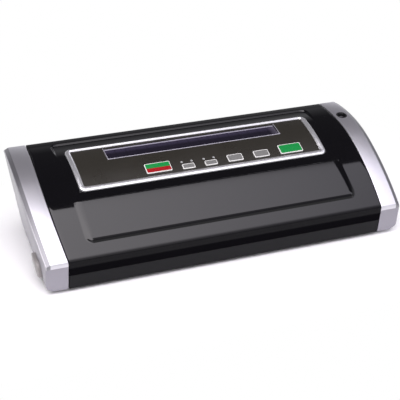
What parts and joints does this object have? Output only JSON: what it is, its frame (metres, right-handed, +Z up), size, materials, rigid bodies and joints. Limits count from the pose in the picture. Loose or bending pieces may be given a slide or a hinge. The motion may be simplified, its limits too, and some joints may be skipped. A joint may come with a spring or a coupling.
{
  "type": "household vacuum sealer",
  "caption": "Bag sealer with an arched hinged lid between two side housings, a vacuum trough, a seal bar, a key panel and side release buttons.",
  "frame": {"origin": "middle of the width and depth of the housings at table level", "axes": "+X to the right as the user faces it, +Y to the back, +Z up; the front edge with the bag slot faces -Y"},
  "size_m": [0.3964, 0.1514, 0.0971],
  "materials": {
    "body_plastic": "moulded black plastic",
    "deck_plastic": "moulded dark grey plastic",
    "silver_plastic": "silver painted plastic",
    "bright_trim": "bright silver coated plastic",
    "bar_metal": "plated metal",
    "wire_metal": "flat heating wire",
    "release_tape": "brown coated glass cloth",
    "gasket_rubber": "closed cell foam",
    "strip_rubber": "red brown silicone",
    "hose_rubber": "milky silicone",
    "core_steel": "varnished steel stack",
    "coil_tape": "yellow winding tape",
    "circuit_board": "green circuit board",
    "valve_plastic": "blue grey plastic",
    "pin_brass": "brass pins",
    "foot_rubber": "soft black rubber",
    "lid_gloss": "polished black plastic",
    "overlay_film": "dark olive film",
    "lens_film": "dark violet tinted film",
    "lamp_plastic": "milky light pipes",
    "key_green": "green printed key",
    "key_grey": "grey printed key",
    "button_grey": "soft warm grey plastic"
  },
  "bodies": {
    "base": {"base_tray": "body_plastic", "top_deck": "deck_plastic", "left_housing": "silver_plastic", "right_housing": "silver_plastic", "left_trim": "bright_trim", "right_trim": "bright_trim", "seal_bar": "bar_metal", "seal_wire": "wire_metal", "seal_tape": "release_tape", "lower_gasket": "gasket_rubber", "chamber_inlet": "deck_plastic", "pump_motor": "bar_metal", "pump_head": "body_plastic", "suction_hose": "hose_rubber", "port_hose": "hose_rubber", "hose_port": "body_plastic", "transformer_core": "core_steel", "transformer_coil": "coil_tape", "main_board": "circuit_board", "air_valve": "valve_plastic", "power_inlet": "body_plastic", "inlet_pins": "pin_brass", "front_left_foot": "foot_rubber", "front_right_foot": "foot_rubber", "back_left_foot": "foot_rubber", "back_right_foot": "foot_rubber", "left_hinge_pin": "bar_metal", "right_hinge_pin": "bar_metal", "floor_screws": "bar_metal", "left_release_spring": "bar_metal", "right_release_spring": "bar_metal"},
    "lid": {"lid_cover": "lid_gloss", "lid_liner": "body_plastic", "upper_gasket": "gasket_rubber", "pressure_strip": "strip_rubber", "panel_frame": "bright_trim", "panel_overlay": "overlay_film", "window_lens": "lens_film", "lamp_lenses": "lamp_plastic", "control_board": "circuit_board", "display_module": "lens_film", "left_striker": "bar_metal", "right_striker": "bar_metal", "liner_screws": "bar_metal"},
    "power_key": {"power_key": "key_green"},
    "left_mode_key": {"left_mode_key": "key_grey"},
    "right_mode_key": {"right_mode_key": "key_grey"},
    "seal_time_key": {"seal_time_key": "key_grey"},
    "food_key": {"food_key": "key_grey"},
    "start_key": {"start_key": "key_green"},
    "left_button": {"left_release_button": "button_grey"},
    "right_button": {"right_release_button": "button_grey"},
    "crank": {"pump_crank": "bar_metal"}
  },
  "joints": [
    {"name": "lid_hinge", "type": "hinge", "parent": "base", "child": "lid", "pos_m": [0, 0.068, 0.06], "axis": [-1, 0, 0], "range_deg": [0, 70]},
    {"name": "power_key_press", "type": "slide", "parent": "lid", "child": "power_key", "axis": [0, 0.4125, -0.911], "range_m": [0, 0.0005], "stiffness_N_per_m": 1500, "springref_m": -0.0003},
    {"name": "left_mode_key_press", "type": "slide", "parent": "lid", "child": "left_mode_key", "axis": [0, 0.4262, -0.9046], "range_m": [0, 0.0005], "stiffness_N_per_m": 1500, "springref_m": -0.0003},
    {"name": "right_mode_key_press", "type": "slide", "parent": "lid", "child": "right_mode_key", "axis": [0, 0.4262, -0.9046], "range_m": [0, 0.0005], "stiffness_N_per_m": 1500, "springref_m": -0.0003},
    {"name": "seal_time_key_press", "type": "slide", "parent": "lid", "child": "seal_time_key", "axis": [0, 0.4229, -0.9062], "range_m": [0, 0.0005], "stiffness_N_per_m": 1500, "springref_m": -0.0003},
    {"name": "food_key_press", "type": "slide", "parent": "lid", "child": "food_key", "axis": [0, 0.4229, -0.9062], "range_m": [0, 0.0005], "stiffness_N_per_m": 1500, "springref_m": -0.0003},
    {"name": "start_key_press", "type": "slide", "parent": "lid", "child": "start_key", "axis": [0, 0.42, -0.9075], "range_m": [0, 0.0005], "stiffness_N_per_m": 1500, "springref_m": -0.0003},
    {"name": "left_release", "type": "slide", "parent": "base", "child": "left_button", "axis": [1, 0, 0], "range_m": [0, 0.0035], "stiffness_N_per_m": 900, "springref_m": -0.001, "deforming": ["left_release_spring"]},
    {"name": "right_release", "type": "slide", "parent": "base", "child": "right_button", "axis": [-1, 0, 0], "range_m": [0, 0.0035], "stiffness_N_per_m": 900, "springref_m": -0.001, "deforming": ["right_release_spring"]},
    {"name": "pump_crank_spin", "type": "hinge", "parent": "base", "child": "crank", "pos_m": [0.076, 0.04, 0.026], "axis": [1, 0, 0], "continuous": true}
  ]
}
